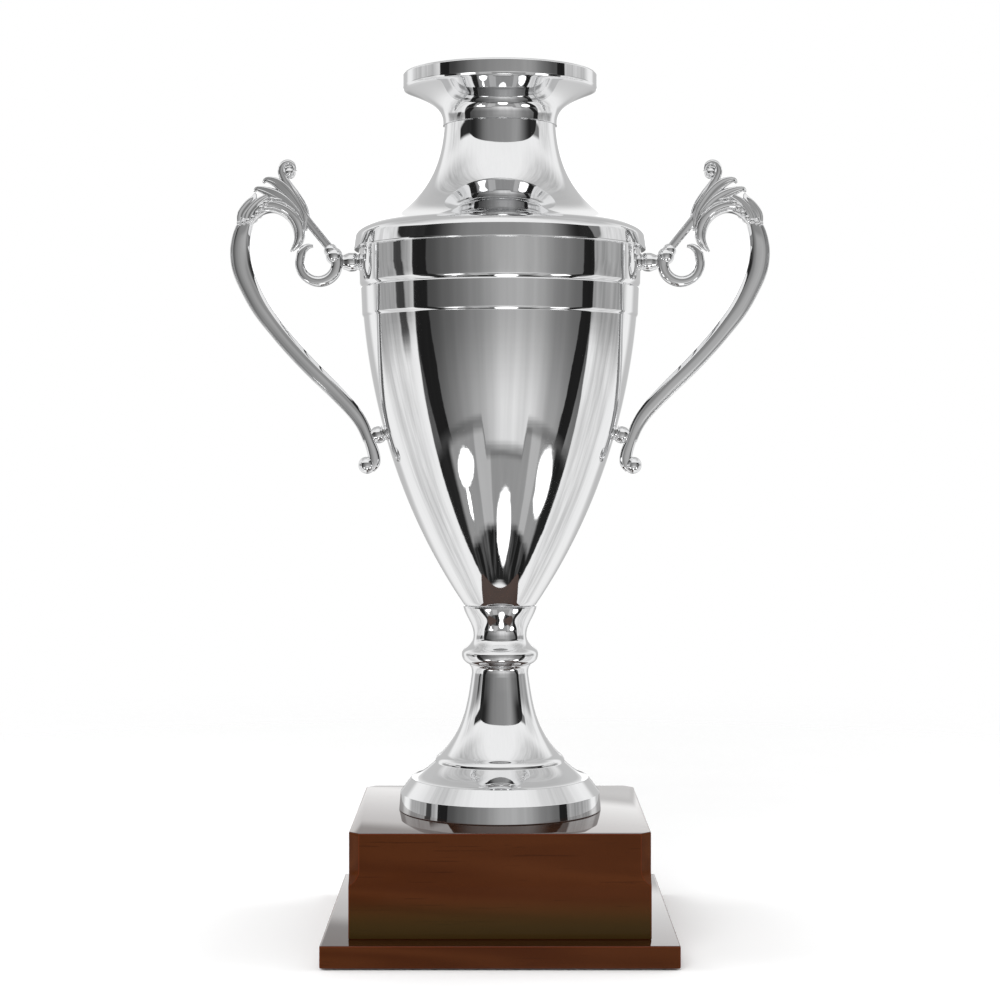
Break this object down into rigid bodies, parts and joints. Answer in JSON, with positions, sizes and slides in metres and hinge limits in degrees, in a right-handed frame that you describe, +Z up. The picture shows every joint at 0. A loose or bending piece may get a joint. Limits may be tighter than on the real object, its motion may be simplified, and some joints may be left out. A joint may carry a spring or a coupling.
{
  "type": "trophy cup",
  "caption": "Tall two-handled presentation cup with a flared open mouth, waisted stem and stepped round foot, bolted to a square lacquered wooden plinth.",
  "frame": {"origin": "centre of the underside of the felt, on the surface the trophy stands on", "axes": "+Z up, handles along X, +Y away from the name-plate face of the plinth"},
  "size_m": [0.3234, 0.2, 0.5129],
  "materials": {
    "spun_plate": "bright nickel plate on spun brass, mirror polish with faint spinning lines",
    "cast_plate": "bright nickel plate on zinc castings and turned spacers",
    "lacquered_wood": "mahogany-stained hardwood under high-gloss lacquer",
    "zinc_steel": "bright zinc-plated steel hardware",
    "felt": "self-adhesive green baize"
  },
  "bodies": {
    "root": {"felt_pad": "felt", "plinth_plate": "lacquered_wood", "plinth_block": "lacquered_wood", "plinth_screws": "zinc_steel", "pedestal": "spun_plate", "stem": "cast_plate", "bowl": "spun_plate", "neck_shoulder": "spun_plate", "mouth_flare": "spun_plate", "tie_rod": "zinc_steel", "bowl_washer": "zinc_steel", "bowl_nut": "zinc_steel", "base_washer": "zinc_steel", "base_nut": "zinc_steel", "handle_left": "cast_plate", "handle_right": "cast_plate", "upper_spacer_left": "cast_plate", "upper_spacer_right": "cast_plate", "lower_spacer_left": "cast_plate", "lower_spacer_right": "cast_plate", "handle_screws": "zinc_steel", "handle_washers": "zinc_steel"}
  },
  "joints": []
}
